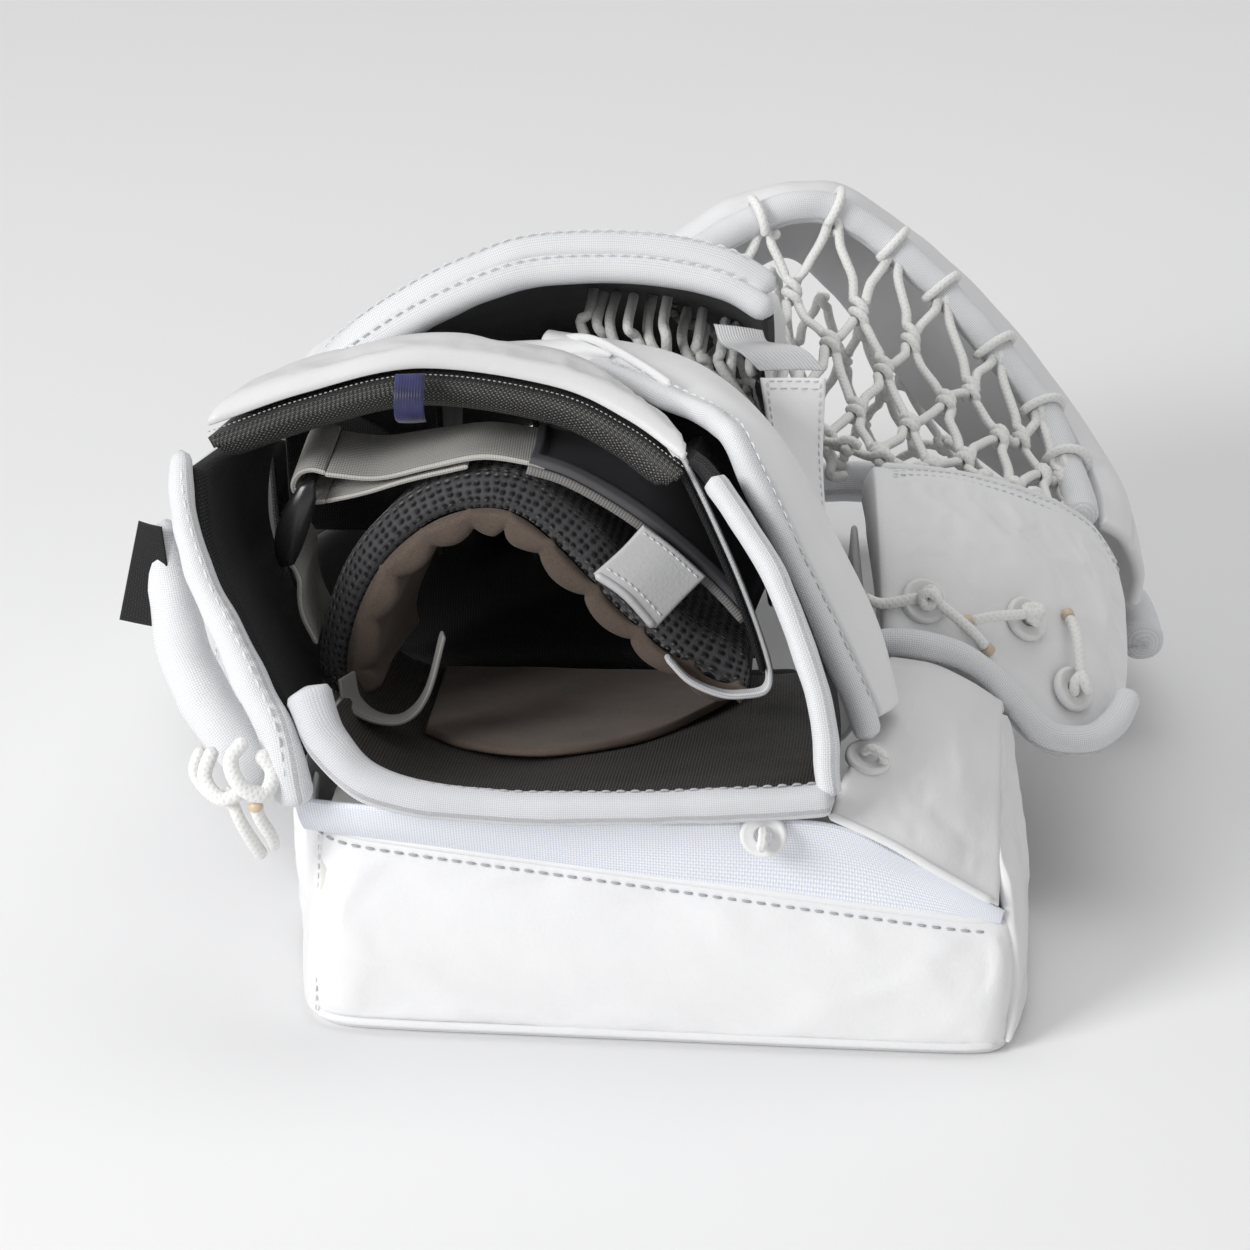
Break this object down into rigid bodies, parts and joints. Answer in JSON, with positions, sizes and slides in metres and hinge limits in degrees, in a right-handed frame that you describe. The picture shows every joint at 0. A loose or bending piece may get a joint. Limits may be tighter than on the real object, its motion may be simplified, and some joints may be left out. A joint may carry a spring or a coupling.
{
  "type": "ice hockey goalie catch glove",
  "caption": "Left-hand ice hockey goalkeeper catch glove with cuff block, strapped wrist opening, finger protector, folding thumb and laced net pocket, lying palm down",
  "frame": {"origin": "centre of the flat outer face of the cuff block's front leather, which the glove rests on", "axes": "+X from the little-finger side to the thumb side, +Y from the elbow to the fingertips, +Z out of the back of the hand"},
  "size_m": [0.3019, 0.3624, 0.1763],
  "materials": {
    "white_leather": "smooth coated synthetic leather, white, soft sheen with fine grain",
    "aged_leather": "coated synthetic leather, greyer and creased",
    "grey_leather": "silver-grey smooth leather pull tab",
    "weave_white": "coarse white nylon weave with blue-grey pits",
    "binding_white": "ribbed white nylon binding tape with lock stitches",
    "black_nylon": "ballistic nylon, matt black",
    "spacer_mesh": "black three-dimensional spacer mesh",
    "suede": "brushed synthetic suede, taupe brown",
    "foam": "closed-cell foam core",
    "composite": "fibre-plastic stiffener sheet",
    "webbing_grey": "grey-white ribbed webbing",
    "elastic_white": "white knitted elastic",
    "rubber_grey": "moulded dark grey rubber patch",
    "ring_plastic": "moulded black plastic",
    "navy_loop": "woven navy label tape",
    "label_black": "woven black label, blank",
    "washer_plastic": "white plastic washer",
    "lace_white": "braided white nylon skate lace",
    "charcoal_nylon": "charcoal padded nylon"
  },
  "bodies": {
    "glove": {"cuff_front_leather": "white_leather", "cuff_composite_board": "composite", "cuff_foam": "foam", "cuff_elbow_leather": "white_leather", "cuff_mesh_panel": "weave_white", "cuff_shoulder_foam": "foam", "cuff_shoulder_leather": "aged_leather", "cuff_seam_piping": "binding_white", "cuff_thumb_end_panel": "white_leather", "cuff_pinky_end_panel": "white_leather", "cuff_back_leather": "white_leather", "cuff_lace_washers": "washer_plastic", "tunnel_floor": "black_nylon", "tunnel_pinky_wall": "white_leather", "tunnel_thumb_wall": "black_nylon", "rim_binding_floor": "binding_white", "rim_binding_pinky": "binding_white", "rim_binding_thumb": "binding_white", "wrist_wrap": "white_leather", "wrist_wrap_binding": "binding_white", "side_label": "label_black", "pinky_lace_knots": "lace_white", "palm_liner": "suede", "wrist_pad": "spacer_mesh", "wrist_pad_liner": "suede", "wrist_strap": "webbing_grey", "strap_patch": "rubber_grey", "strap_turn": "webbing_grey", "ring_anchor_strap": "webbing_grey", "pad_edge_strap": "elastic_white", "palm_pad": "white_leather", "finger_board": "white_leather", "finger_board_binding": "binding_white", "pinky_side_wall": "white_leather", "finger_gusset": "white_leather", "finger_dividers": "black_nylon", "finger_protector": "white_leather", "finger_protector_binding": "binding_white", "back_elastic": "elastic_white", "palm_gusset": "white_leather", "web_band": "white_leather", "web_band_binding": "binding_white", "web_crossbar": "binding_white", "net_thumb_side": "lace_white", "net_finger_side": "lace_white"},
    "thumb": {"thumb_board": "foam", "thumb_cover": "white_leather", "thumb_stall": "suede", "thumb_binding": "binding_white", "thumb_lace_washers": "washer_plastic", "thumb_lace_ends": "lace_white"},
    "wrist_flap": {"wrist_flap": "white_leather", "wrist_flap_lining": "charcoal_nylon", "size_loop": "navy_loop"},
    "ring": {"strap_ring": "ring_plastic"},
    "pull_tab": {"pull_tab": "grey_leather"},
    "back_tab": {"back_strap_tab": "aged_leather"}
  },
  "joints": [
    {"name": "thumb_close", "type": "hinge", "parent": "glove", "child": "thumb", "pos_m": [0.05, 0.08, 0.06], "axis": [0, 1, 0], "range_deg": [-4, 22], "deforming": ["palm_gusset", "web_band", "web_band_binding", "web_crossbar", "net_thumb_side", "net_finger_side"]},
    {"name": "wrist_flap_lift", "type": "hinge", "parent": "glove", "child": "wrist_flap", "pos_m": [-0.065, 0.08, 0.147], "axis": [-1, 0, 0], "range_deg": [0, 8]},
    {"name": "ring_swing", "type": "hinge", "parent": "glove", "child": "ring", "pos_m": [-0.104, 0.043, 0.134], "axis": [0, 1, 0], "range_deg": [-12, 12], "deforming": ["ring_anchor_strap"]},
    {"name": "pull_tab_lift", "type": "hinge", "parent": "glove", "child": "pull_tab", "pos_m": [0.001, 0.0203, 0.1195], "axis": [-0.7661, 0, 0.6428], "range_deg": [0, 45]},
    {"name": "back_tab_peel", "type": "hinge", "parent": "glove", "child": "back_tab", "pos_m": [0.0398, 0.055, 0.1052], "axis": [0.6141, 0.7224, -0.3179], "range_deg": [0, 8], "deforming": ["back_elastic"]}
  ]
}
